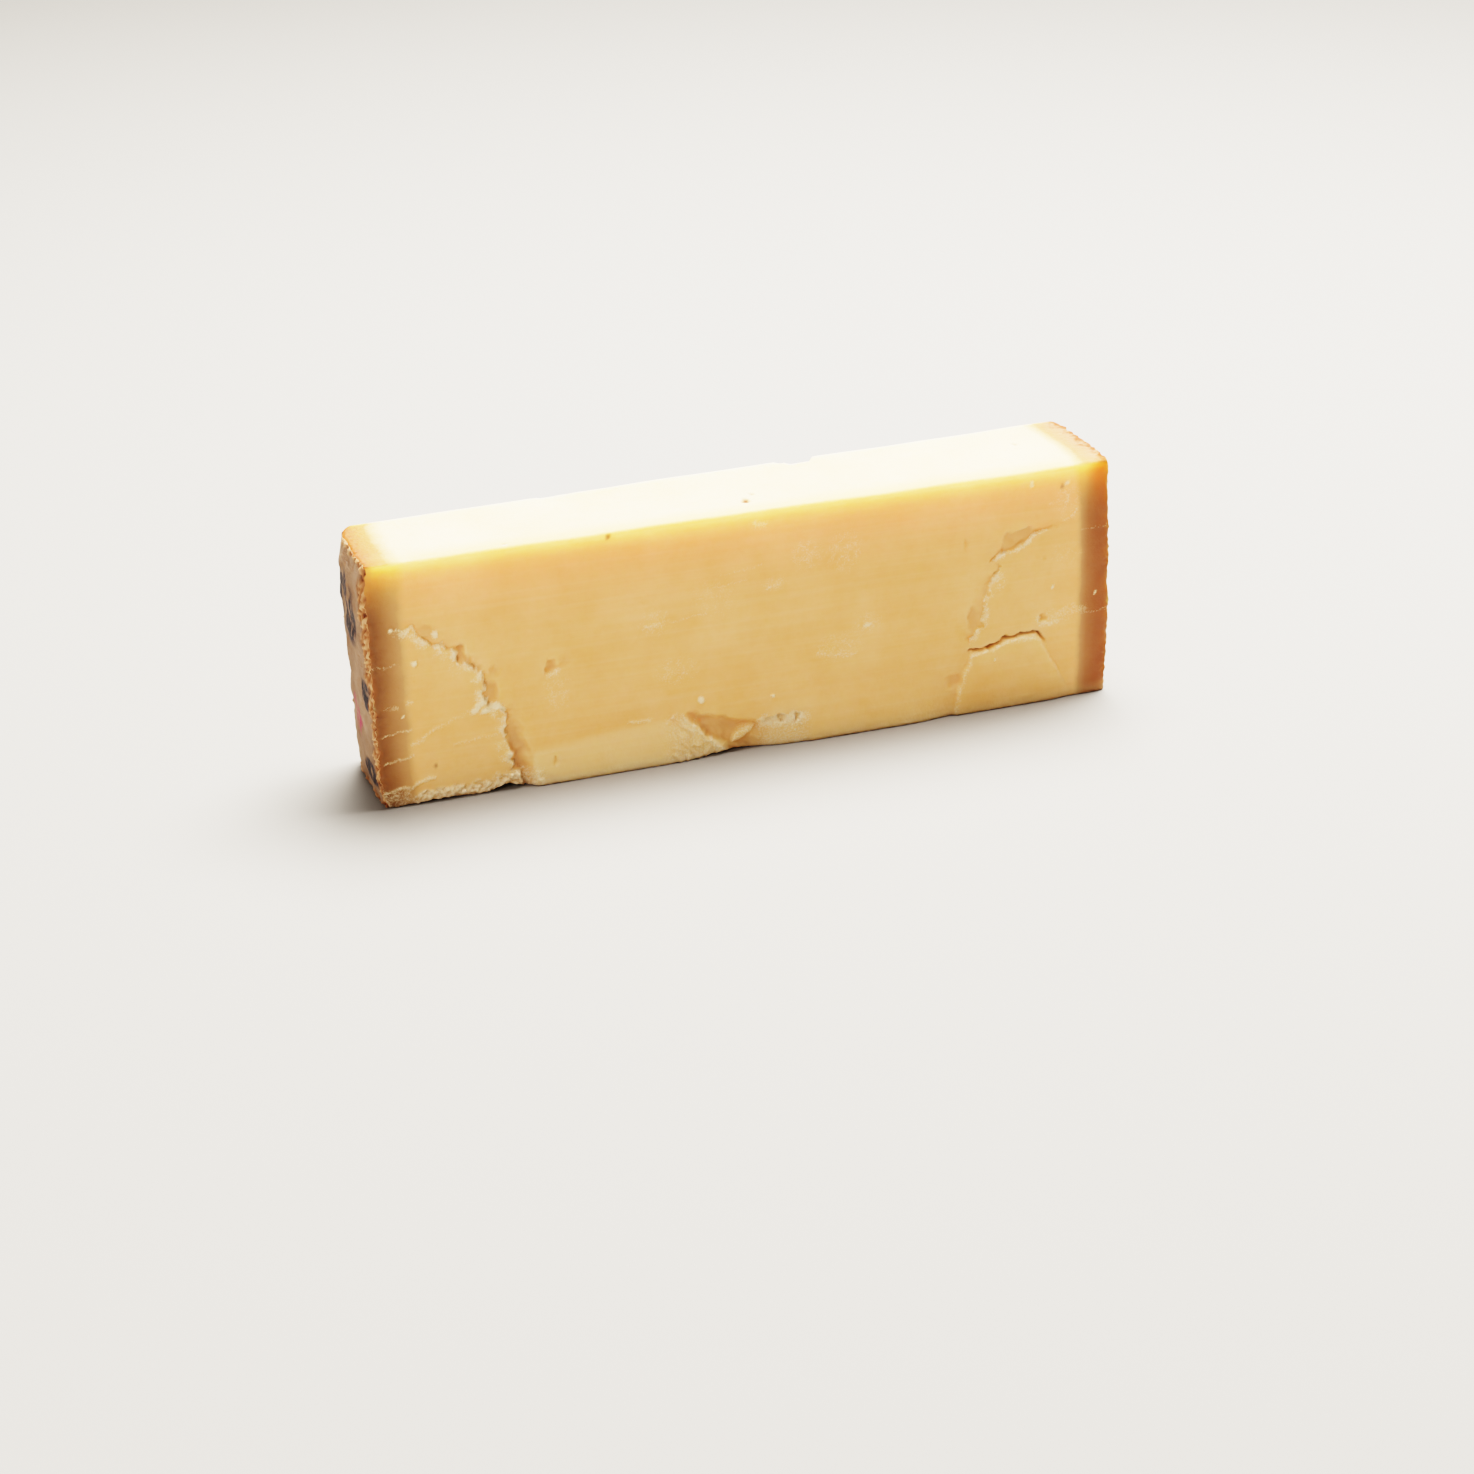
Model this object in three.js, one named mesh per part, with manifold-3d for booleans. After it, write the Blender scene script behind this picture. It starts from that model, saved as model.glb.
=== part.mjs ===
// A slab of aged hard cheese, cut right across its wheel and laid on one long side.
// The two short ends are the wheel's rind and the four long sides are knife cuts. It is one solid piece: a
// body with a smooth closed surface, out of which the broken cracks, hollows and chips are cut.
// Millimetres. While it is shaped, x runs from the printed rind end to the other one, y from the front cut to
// the back cut, and z up from the side it lies on. At the end it is centred over the middle of its base.
import * as THREE from 'three';
import { mergeVertices } from 'three/addons/utils/BufferGeometryUtils.js';
import Module from 'manifold-3d';

// Driving dimensions
const LENGTH = 190.3; // along the front top edge, from rind to rind
const HEIGHT = 63.2;
const DEPTH_LEFT = 28.9; // front cut to back cut along the top, at the printed rind end
const DEPTH_RIGHT = 33.7; // the same at the other end: the slab is a slight wedge in plan
const BASE_SPREAD = 2.4; // how much deeper the base is than the top, as the back cut leans
const RIND_BULGE = 2.0; // how far each rind end bellies out past its edges
const LEFT_EDGE = 1.3; // x of the front cut's left edge
const CORNER_ROUND = 2.4; // how far the back edge of the printed rind end is rounded off
const KNIFE_EDGE = 0.7; // rounding of the cut edges
const TRIM_HEIGHT = 12.4; // the base of the front cut was trimmed by a second stroke up to here
const TRIM_OUT = 1.3; // and its foot stands this much forward of the main cut
const FOOT_GAP = 1.7; // most that the broken front base edge stands off the table
const FOOT_DEPTH = 6; // and how far back from the front cut the base lies flat again

// How finely the body's surface is divided
const COLUMNS = 36;
const ROWS = 12;
const LAYERS = 6;

const OUTSIDE = -5; // y of the open side of a cutter, well in front of the front cut

const clamp01 = (t) => Math.min(1, Math.max(0, t));
const mix = (a, b, t) => a + (b - a) * t;
// 0 on a's side, 1 on b's side and an S-curve between, whichever of the two is larger.
const ease = (a, b, t) => THREE.MathUtils.smoothstep((t - a) / (b - a), 0, 1);
// A hill of height 1 at the middle that reaches 0 at half its width on each side.
const hill = (x, middle, width) => 1 - ease(0, width / 2, Math.abs(x - middle));
// A gentle unevenness between about -1 and 1, from three waves that never line up.
const uneven = (a, b) =>
  0.5 * Math.sin(a * 0.31 + 1.3 * Math.sin(b * 0.17)) +
  0.3 * Math.sin(b * 0.43 + 2.1 + a * 0.11) +
  0.2 * Math.sin(a * 0.83 - b * 0.61);
// Rind is rough at a finer scale than a cut.
const rindRoughness = (y, z) => 0.28 * uneven(y * 3.1, z * 2.7) + 0.18 * uneven(z * 5.3 + 4, y * 4.4);

// x of the printed rind end: bellied, most of all high up, rounded off to the back, and drawn in at its foot.
function leftRind(y, z, depth) {
  const across = Math.sqrt(clamp01(4 * (y / depth) * (1 - y / depth)));
  const belly = across * (0.45 + 0.55 * ease(14, 50, z)) * (0.25 + 0.75 * ease(HEIGHT, HEIGHT - 7, z));
  const shoulder = CORNER_ROUND * clamp01((y / depth - 0.74) / 0.26) ** 3;
  return LEFT_EDGE - RIND_BULGE * belly + shoulder + 0.9 * ease(12, 0, z) + rindRoughness(y, z) * 0.6;
}

// x of the other rind end: it bellies across, and its cut edges stand out most at four tenths of the height.
function rightRind(y, z, depth) {
  const upright = 1 - ((z - 0.42 * HEIGHT) / (0.6 * HEIGHT)) ** 2;
  const across = clamp01(4 * (y / depth) * (1 - y / depth)) ** 0.8;
  return LEFT_EDGE + LENGTH + RIND_BULGE * (0.6 * upright + 0.6 * across) + rindRoughness(y + 40, z);
}

// y of the back cut, which leans out towards the base and flares a little into the rind at the right.
function backCut(x, z) {
  const widening = mix(DEPTH_LEFT, DEPTH_RIGHT, clamp01(x / LENGTH) ** 0.9);
  return widening + BASE_SPREAD * (1 - z / HEIGHT) + 0.25 * uneven(x * 0.6, z * 0.5);
}

// y of the front cut: almost flat, with the trimmed foot standing forward in two stretches.
function frontCut(x, z) {
  const stretches = clamp01(ease(38, 41, x) - ease(74, 86, x) + ease(97, 108, x) - ease(128, 146, x));
  const slope = clamp01(1 - z / (TRIM_HEIGHT + 0.01 * (x - 78)));
  return -TRIM_OUT * stretches * slope + 0.12 * uneven(x * 0.5, z * 0.6);
}

// Height of the front base edge above the table, where pieces have broken from it.
function footGap(x) {
  const lifted = 0.65 * hill(x, 15, 26) + 1.0 * hill(x, 33, 14) + hill(x, 89, 24);
  return FOOT_GAP * clamp01(lifted);
}

// The point of the body's surface for three shares from 0 to 1: u along it, v front to back, w up.
function bodyPoint(u, v, w) {
  const roundU = u === 0 || u === 1;
  const roundV = v === 0 || v === 1;
  const roundW = w === 0 || w === 1;
  // A point on one of the box's edges, or at a corner, moves in by what its rounding takes off.
  const meeting = roundU + roundV + roundW;
  const inset = meeting < 2 ? 0 : KNIFE_EDGE * (1 - 1 / Math.sqrt(meeting));
  const pull = (share, rounded) => (rounded ? (share === 0 ? inset : -inset) : 0);

  const z = HEIGHT * w + pull(w, roundW);
  const depthHere = backCut(LENGTH * u, z);
  const left = leftRind(depthHere * v, z, depthHere);
  const right = rightRind(depthHere * v, z, depthHere);
  const x = mix(left, right, u) + pull(u, roundU);
  const y = mix(frontCut(x, z), backCut(x, z), v) + pull(v, roundV);
  const top = ease(0.6, 1, w) * 0.15 * uneven(x * 0.4, y * 0.9);
  const foot = w < 0.5 ? footGap(x) * ease(FOOT_DEPTH, 0, y) * ease(9, 0, z) : 0;
  return [x, y, z + top + foot];
}

// Shares from 0 to 1 in equal steps, with one more line close to each end for the rounded edge.
function shares(count, size) {
  const edge = KNIFE_EDGE / size;
  return [0, ...Array.from({ length: count + 1 }, (_, i) => mix(edge, 1 - edge, i / count)), 1];
}

// A closed geometry from the six grids of a box whose points are moved by bodyPoint.
function bodyGeometry() {
  const us = shares(COLUMNS, LENGTH);
  const vs = shares(LAYERS, DEPTH_LEFT);
  const ws = shares(ROWS, HEIGHT);
  const positions = [];
  const face = (as, bs, point, turned) => {
    for (let i = 0; i + 1 < as.length; i++) {
      for (let j = 0; j + 1 < bs.length; j++) {
        const corners = [
          point(as[i], bs[j]),
          point(as[i + 1], bs[j]),
          point(as[i + 1], bs[j + 1]),
          point(as[i], bs[j + 1]),
        ];
        if (turned) corners.reverse();
        for (const k of [0, 1, 2, 0, 2, 3]) positions.push(...corners[k]);
      }
    }
  };
  face(us, ws, (u, w) => bodyPoint(u, 0, w), false);
  face(us, ws, (u, w) => bodyPoint(u, 1, w), true);
  face(us, vs, (u, v) => bodyPoint(u, v, 1), false);
  face(us, vs, (u, v) => bodyPoint(u, v, 0), true);
  face(vs, ws, (v, w) => bodyPoint(1, v, w), false);
  face(vs, ws, (v, w) => bodyPoint(0, v, w), true);
  const geometry = new THREE.BufferGeometry();
  geometry.setAttribute('position', new THREE.Float32BufferAttribute(positions, 3));
  return geometry;
}

// A lumpy ball to scoop out a broken hollow: an icosphere stretched to its reaches, dented by waves, and
// turned by its lean in the plane of the front cut.
function lumpyBall({ at, reach, lean = 0, seed = 0 }) {
  const ball = new THREE.IcosahedronGeometry(1, 3).deleteAttribute('normal').deleteAttribute('uv');
  const geometry = mergeVertices(ball);
  const position = geometry.attributes.position;
  const point = new THREE.Vector3();
  for (let i = 0; i < position.count; i++) {
    point.fromBufferAttribute(position, i);
    const coarse = 0.13 * Math.sin(5 * point.x + 3 * point.z + seed);
    const fine = 0.09 * Math.sin(9 * point.z - 4 * point.x + 2 * seed);
    point.multiplyScalar(1 + coarse + fine).multiply(reach);
    point.applyAxisAngle(new THREE.Vector3(0, 1, 0), lean).add(at);
    position.setXYZ(i, point.x, point.y, point.z);
  }
  return geometry;
}

// A crack's route made jagged: points a step apart along straight runs between the given corners, each moved
// sideways by an uneven amount, the two ends staying where they are.
function jaggedRoute(corners, step, jag) {
  const line = new THREE.CurvePath();
  for (let i = 0; i + 1 < corners.length; i++) {
    line.add(new THREE.LineCurve(new THREE.Vector2(...corners[i]), new THREE.Vector2(...corners[i + 1])));
  }
  const count = Math.round(line.getLength() / step);
  return Array.from({ length: count + 1 }, (_, i) => {
    const point = line.getPointAt(i / count);
    const tangent = line.getTangentAt(i / count);
    const aside = i === 0 || i === count ? 0 : jag * Math.sin(i * 2.4 + 1.7 * Math.sin(i * 1.1));
    return point.add(new THREE.Vector2(-tangent.y, tangent.x).multiplyScalar(aside));
  });
}

// A groove along a jagged route on the front cut. Its section is a V with one gentle and one steep wall, and
// it thins at both ends. side says on which side of the route the gentle wall lies.
function crackGroove({ corners, wide, deep, side = 1, step = 2.2, jag = 0.45 }) {
  const route = jaggedRoute(corners, step, jag);
  const last = route.length - 1;
  const rings = route.map((point, i) => {
    const before = route[Math.max(0, i - 1)];
    const after = route[Math.min(last, i + 1)];
    const across = new THREE.Vector2(before.y - after.y, after.x - before.x).setLength(side);
    const fromEnd = Math.min(i, last - i);
    const taper = fromEnd === 0 ? 0.15 : Math.min(1, 0.45 + (1.3 * fromEnd) / last);
    const section = [
      [wide * taper, OUTSIDE],
      [wide * taper, -0.1],
      [0.25 * wide * taper, deep * taper],
      [-0.1 * wide * taper, deep * taper],
      [-0.25 * wide * taper, OUTSIDE],
    ];
    return section.map(([away, y]) => [point.x + across.x * away, y, point.y + across.y * away]);
  });
  return ringSolid(rings, side > 0);
}

// A closed geometry through rings of equally many points, with a flat cap at each end.
function ringSolid(rings, turned) {
  const positions = [];
  const triangle = (a, b, c) => positions.push(...a, ...(turned ? c : b), ...(turned ? b : c));
  const size = rings[0].length;
  for (let i = 0; i + 1 < rings.length; i++) {
    for (let j = 0; j < size; j++) {
      const k = (j + 1) % size;
      triangle(rings[i][j], rings[i][k], rings[i + 1][k]);
      triangle(rings[i][j], rings[i + 1][k], rings[i + 1][j]);
    }
  }
  for (let j = 1; j + 1 < size; j++) {
    const end = rings[rings.length - 1];
    triangle(rings[0][0], rings[0][j + 1], rings[0][j]);
    triangle(end[0], end[j], end[j + 1]);
  }
  const geometry = new THREE.BufferGeometry();
  geometry.setAttribute('position', new THREE.Float32BufferAttribute(positions, 3));
  return geometry;
}

// Where the cheese has cracked open on the front cut: corners as [x, z].
const CRACKS = [
  // the long crack from the left edge down, and its lower stretch to the base
  { wide: 1.8, deep: 0.9, corners: [[6, 46], [12, 46], [15, 42], [21, 39], [23, 35], [28.5, 30], [28, 25]] },
  { wide: 1.6, deep: 1.1, corners: [[28, 26], [29.5, 22.3], [33, 20.3], [32.6, 14], [33.6, 8], [34.6, 2]] },
  // the open furrow beside its foot
  { wide: 3.1, deep: 1.3, side: -1, jag: 0.3, corners: [[36, 23.5], [37, 15], [38, 8], [38.4, 1]] },
  // the crack at the right
  { wide: 1.5, deep: 0.8, side: -1, corners: [[160, 40.4], [161, 36], [158.6, 30], [158, 24], [154, 19]] },
  // the open crack that crosses its lower end, and the edge that runs on down from there
  { wide: 1.1, deep: 1.8, jag: 0.25, corners: [[153.5, 16], [159, 17], [165, 18], [172, 17.2], [176, 15]] },
  { wide: 1.2, deep: 0.9, side: -1, corners: [[154.6, 17], [152.6, 11.5], [150.5, 7]] },
  // the slit higher up
  { wide: 0.9, deep: 0.6, jag: 0.1, corners: [[153.6, 48.2], [152.4, 43.8]] },
];

// Where pieces have broken out: the ball's centre, its reaches along x, y and z, and its lean.
const HOLLOWS = [
  { at: [15.2, -0.4, 44.2], reach: [2.6, 1.6, 2.2], lean: 0.7, seed: 1 },
  { at: [23.2, -0.4, 37.4], reach: [1.5, 1.8, 2.5], seed: 2 },
  { at: [26.6, -0.4, 32.8], reach: [1.9, 1.3, 1.3], lean: 0.7, seed: 3 },
  { at: [29.8, -0.3, 27.1], reach: [1.9, 2.4, 4.3], lean: 0.2, seed: 4 },
  { at: [167.2, -0.6, 44.8], reach: [5.0, 1.9, 2.9], lean: -0.12, seed: 5 },
  { at: [155.8, -0.6, 25.0], reach: [2.2, 1.5, 4.2], lean: 0.1, seed: 6 },
  { at: [45.2, -0.5, 29.8], reach: [1.5, 1.5, 1.7], seed: 7 },
  { at: [175.0, -0.4, 22.8], reach: [1.9, 1.3, 1.2], seed: 8 },
  // the deep break in the front base edge, in two bites
  { at: [84.5, -1.6, 6.2], reach: [7.2, 4.6, 6.6], lean: 0.3, seed: 9 },
  { at: [93.4, -1.4, 4.0], reach: [5.6, 4.2, 4.6], lean: 0.2, seed: 10 },
  { at: [104.5, -2.1, 5.4], reach: [5.2, 2.4, 3.6], lean: 0.1, seed: 11 },
  // the chip out of the back top edge
  { at: [119.0, 33.8, 64.0], reach: [5.4, 4.9, 3.8], seed: 12 },
];

const wasm = await Module();
wasm.setup();

// A closed three.js geometry as a solid that can be cut.
function solid(geometry) {
  const merged = mergeVertices(geometry);
  return new wasm.Manifold(
    new wasm.Mesh({
      numProp: 3,
      vertProperties: merged.attributes.position.array,
      triVerts: new Uint32Array(merged.index.array),
    }),
  );
}

// The body with every crack and hollow cut out of it, centred over the middle of its base.
function slabGeometry() {
  let slab = solid(bodyGeometry());
  for (const crack of CRACKS) {
    slab = slab.subtract(solid(crackGroove(crack)));
  }
  for (const { at, reach, lean, seed } of HOLLOWS) {
    slab = slab.subtract(
      solid(lumpyBall({ at: new THREE.Vector3(...at), reach: new THREE.Vector3(...reach), lean, seed })),
    );
  }
  const mesh = slab.getMesh();
  const geometry = new THREE.BufferGeometry();
  geometry.setAttribute('position', new THREE.BufferAttribute(mesh.vertProperties, 3));
  geometry.setIndex(new THREE.BufferAttribute(mesh.triVerts, 1));
  geometry.computeBoundingBox();
  const { min, max } = geometry.boundingBox;
  geometry.translate(-(min.x + max.x) / 2, -(min.y + max.y) / 2, -min.z);
  geometry.computeVertexNormals();
  return geometry;
}

const paste = new THREE.MeshStandardMaterial({ color: 0xe8c98c, roughness: 0.55, metalness: 0 });
const slab = new THREE.Mesh(slabGeometry(), paste);
slab.name = 'cheese_slab';

const part = new THREE.Group();
part.add(slab);

export default part;
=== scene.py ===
import bpy
import numpy as np
from mathutils import Matrix, Vector


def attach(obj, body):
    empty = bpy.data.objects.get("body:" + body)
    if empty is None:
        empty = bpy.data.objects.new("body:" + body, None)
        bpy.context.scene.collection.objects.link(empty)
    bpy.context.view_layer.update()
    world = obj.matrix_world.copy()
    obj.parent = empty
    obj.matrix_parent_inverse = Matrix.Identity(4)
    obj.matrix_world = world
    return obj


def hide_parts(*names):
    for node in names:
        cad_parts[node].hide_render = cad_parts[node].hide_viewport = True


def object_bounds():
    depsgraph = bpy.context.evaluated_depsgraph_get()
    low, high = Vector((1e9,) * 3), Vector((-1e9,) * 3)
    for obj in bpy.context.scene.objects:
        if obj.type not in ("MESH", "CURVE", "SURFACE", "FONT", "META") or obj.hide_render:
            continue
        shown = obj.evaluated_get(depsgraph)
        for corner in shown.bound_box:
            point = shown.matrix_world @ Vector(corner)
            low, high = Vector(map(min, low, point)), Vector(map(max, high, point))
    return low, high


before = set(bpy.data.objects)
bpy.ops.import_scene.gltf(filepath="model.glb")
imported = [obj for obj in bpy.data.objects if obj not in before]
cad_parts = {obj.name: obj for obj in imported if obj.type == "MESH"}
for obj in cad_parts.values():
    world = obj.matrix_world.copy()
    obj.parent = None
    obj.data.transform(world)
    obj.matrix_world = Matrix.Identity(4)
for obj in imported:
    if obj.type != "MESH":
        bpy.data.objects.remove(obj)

# The looks of a slab of aged hard cheese, cut right across its wheel and laid on one long side. Sizes are
# millimetres in the slab's own layout: x runs from the printed rind end to the plain one, y from the
# front cut to the back cut, z up from the base. The finished mesh is put into the frame, in metres.
cad_low, cad_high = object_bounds()

# --------------------------------------------------------------------------------------------------------
# The slab. One solid block of hard, dense paste, cut out of the wheel with a long knife. Both short ends
# are the wheel's own rind. The front cut has cracked, and bits have broken out of it, where the knife
# forced the paste apart. The whole block is one closed surface.
# --------------------------------------------------------------------------------------------------------
MM = 0.001
BELLY = 0.69  # the printed rind bellies this far out past x = 0
FOOT_OUT = 1.33  # the trimmed foot of the front cut stands this far in front of y = 0
TOP_WAVE = 0.13  # unevenness of the top cut
ORIGIN = np.array([cad_low.x / MM + BELLY, cad_low.y / MM + FOOT_OUT, cad_low.z / MM])

LENGTH = 190.3  # along the front top edge, from rind to rind
HEIGHT = (cad_high.z - cad_low.z) / MM - TOP_WAVE
DEPTH_LEFT, DEPTH_RIGHT = 28.9, 33.7  # front cut to back cut along the top: a slight wedge in plan
BASE_SPREAD = 2.4  # the back cut leans, so the base is this much deeper than the top
DEPTH = 0.5 * (DEPTH_LEFT + DEPTH_RIGHT) + 0.5 * BASE_SPREAD
LEFT_EDGE = 1.3  # x of the front cut's left edge
RIND_BULGE = 2.0  # the rinds belly out about this far
CORNER_ROUND = 2.4  # the printed rind is rounded off this far towards the back
KNIFE_EDGE = 0.7  # rounding of the cut edges
RELIEF_DEPTH = 13  # the front cut's relief fades out over this depth
WHOLE_BAND = 9.5  # nearer than this to the plain rind, the brown band beside it is widened
RIND_SKIN = 3  # the rinds' roughness fades out over this length


def ease(a, b, t):
    """0 on a's side, 1 on b's side, and an S-curve between, whichever of the two is larger."""
    s = np.clip((t - a) / (b - a), 0, 1)
    return s * s * (3 - 2 * s)


def hill(x, middle, width):
    """A hump of height 1 at the middle, down to 0 at half its width on each side."""
    return 1 - ease(0, width / 2, np.abs(x - middle))


def ripple(wavelength, seed, *axes):
    """Unevenness between about -1 and 1: the sum of fourteen sine waves of about one length, whose
    directions and phases are drawn from the seed."""
    draw = np.random.default_rng(seed)
    total = np.zeros(np.broadcast(*axes).shape)
    for _ in range(14):
        way = draw.normal(size=len(axes))
        way *= 2 * np.pi / (wavelength * draw.uniform(0.7, 1.4) * np.linalg.norm(way))
        total += np.sin(sum(w * a for w, a in zip(way, axes)) + draw.uniform(0, 2 * np.pi))
    return total / 4.6


def grains(size, seed, a, b):
    """Packed round grains: 1 at the middle of a grain and 0 at its rim. Each square cell of the plane
    holds one point, at a place drawn from the cell's number, and the height falls with the distance to
    the nearest point."""
    u, v = a / size, b / size
    nearest = np.full(np.broadcast(u, v).shape, 9.0)
    for i in (-1, 0, 1):
        for j in (-1, 0, 1):
            cu, cv = np.floor(u) + i, np.floor(v) + j
            hashed = np.sin(cu * 127.1 + cv * 311.7 + seed * 74.7) * 43758.5453
            other = np.sin(cu * 269.5 + cv * 183.3 + seed * 12.9) * 24634.6345
            du, dv = cu + hashed % 1 - u, cv + other % 1 - v
            nearest = np.minimum(nearest, np.hypot(du, dv))
    return np.clip(1 - nearest / 0.75, 0, 1)


def along(route, x, z):
    """For a bent line given by its corners: each point's distance from it, positive on the left of its
    way, and how far along it the nearest place lies. It keeps the nearest of the line's straight runs."""
    best, side, run, start = np.full(x.shape, 1e9), np.ones(x.shape), np.zeros(x.shape), 0.0
    for (ax, az), (bx, bz) in zip(route[:-1], route[1:]):
        dx, dz = bx - ax, bz - az
        length = np.hypot(dx, dz)
        t = np.clip(((x - ax) * dx + (z - az) * dz) / length**2, 0, 1)
        away = np.hypot(x - ax - t * dx, z - az - t * dz)
        closer = away < best
        best = np.where(closer, away, best)
        side = np.where(closer, np.where(dx * (z - az) - dz * (x - ax) < 0, -1, 1), side)
        run = np.where(closer, start + t * length, run)
        start += length
    return best * side, run


def dent(x, z, middle, reach, lean, deep):
    """A scooped hollow: an ellipse with steep rims, turned by lean degrees, deepest at its upper end."""
    turn = np.radians(lean)
    a = (x - middle[0]) * np.cos(turn) + (z - middle[1]) * np.sin(turn)
    b = (z - middle[1]) * np.cos(turn) - (x - middle[0]) * np.sin(turn)
    r = np.hypot(a / reach[0], b / reach[1])
    return deep * ease(1.12, 0.72, r) * (0.85 + 0.3 * np.clip(b / reach[1], -1, 1))


# The cracks and broken edges of the front cut, corner by corner as (x, z): the long crack from the left
# edge to the base, the far edge of the furrow at its foot, the ledge and the crack at the right, the open
# crack under them, the edges of the piece that it has loosened, and those of the break in the base.
LEFT_CRACK = [
    (5.8, 46), (11.6, 46.6), (12.9, 43.8), (14.8, 41.9), (17.6, 40.4), (21.2, 39.6), (22.3, 35.2),
    (24.6, 34.9), (26.6, 32.3), (28.4, 30.4), (27.9, 25.4), (29.1, 22.6), (31.6, 22.2), (33.2, 20.2),
    (32.4, 14), (33.7, 9), (34.2, 5), (36, 3.5), (36.4, -2)]
FURROW_EDGE = [(35.4, 25), (37.7, 18), (38.6, 11), (39.3, 5), (40, -2)]
LEDGE = [(159.2, 40), (162.4, 41.7), (163.2, 42.1), (167.3, 43), (170.2, 44.8), (172.4, 46.6), (175.6, 47)]
RIGHT_CRACK = [
    (154.0, 18.3), (155.3, 21), (158.2, 23.5), (158.2, 29), (159.2, 31.8), (159.4, 34.6), (161.9, 37.2),
    (162.2, 38.6)]
OPEN_CRACK = [
    (154.4, 17.5), (157.5, 17.1), (160.6, 17.8), (162.2, 18.1), (163.4, 19.4), (166.5, 19.2), (170, 19.7),
    (173.2, 19.4), (175.2, 17), (176.4, 14.5)]
LOOSE_TOP = [
    (154, 16.2), (157.5, 16.5), (161.4, 17.2), (163.2, 18.4), (170, 18.9), (173.2, 18.4), (176, 14),
    (178, 10)]
LOOSE_SIDE = [(154.9, 17), (152.4, 10.8), (150.8, 6), (149.6, -2)]
BREAK_TOP = [(77.6, 13.6), (81, 13), (86, 11.1), (89, 10.8), (92.3, 9.0), (96.4, 8.2), (100, 7)]
BREAK_SIDE = [(77.6, 14), (78.9, 9.9), (81.3, 7.9), (83.6, 4.8), (88, 1.5), (89.6, -2)]
SLIVER = [(90.6, 2.6), (93.2, 5.0), (95.9, 6.4)]

# Small hollows of the front cut: middle (x, z), reach, lean and depth.
DENTS = [
    ((15.0, 44.6), (2.2, 1.4), -40, 0.8),
    ((23.0, 37.5), (1.1, 2.3), 0, 1.5),
    ((26.6, 33.6), (1.8, 0.9), -35, 1.0),
    ((29.6, 26.3), (2.0, 3.4), -8, 1.3),
    ((30.8, 31.4), (0.9, 1.8), 8, 0.6),
    ((44.9, 30.3), (1.9, 1.6), 15, 1.15),
    ((48.3, 31.4), (1.0, 1.1), 0, 0.6),
    ((44.4, 6.3), (0.6, 1.2), 0, 0.7),
    ((69.4, 43.5), (0.7, 0.7), 0, 0.35),
    ((171.0, 47.2), (1.3, 0.7), 10, 1.3),
    ((161.0, 41.4), (1.0, 0.5), 20, 1.0),
    ((161.0, 36.4), (0.6, 1.0), -10, 0.7),
    ((158.8, 31.4), (0.5, 1.1), -10, 0.6),
    ((155.7, 25.0), (1.8, 4.4), 5, 0.9),
    ((149.8, 9.6), (1.7, 2.3), -25, 0.7),
    ((174.6, 22.9), (1.0, 0.8), 20, 0.8),
    ((174.6, 39.1), (0.8, 0.6), 0, 0.4),
    ((153.0, 46.0), (0.5, 2.1), 15, 0.4),
    ((103.8, 7.2), (1.1, 0.6), 10, 1.5),
    ((107.6, 6.8), (0.6, 1.1), 20, 1.5),
    ((100.4, 7.3), (1.3, 0.5), 5, 0.8),
    ((80.0, 54.4), (0.5, 0.5), 0, 0.25),
    ((102.6, 52.8), (0.6, 0.4), 0, 0.25),
]

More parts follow.
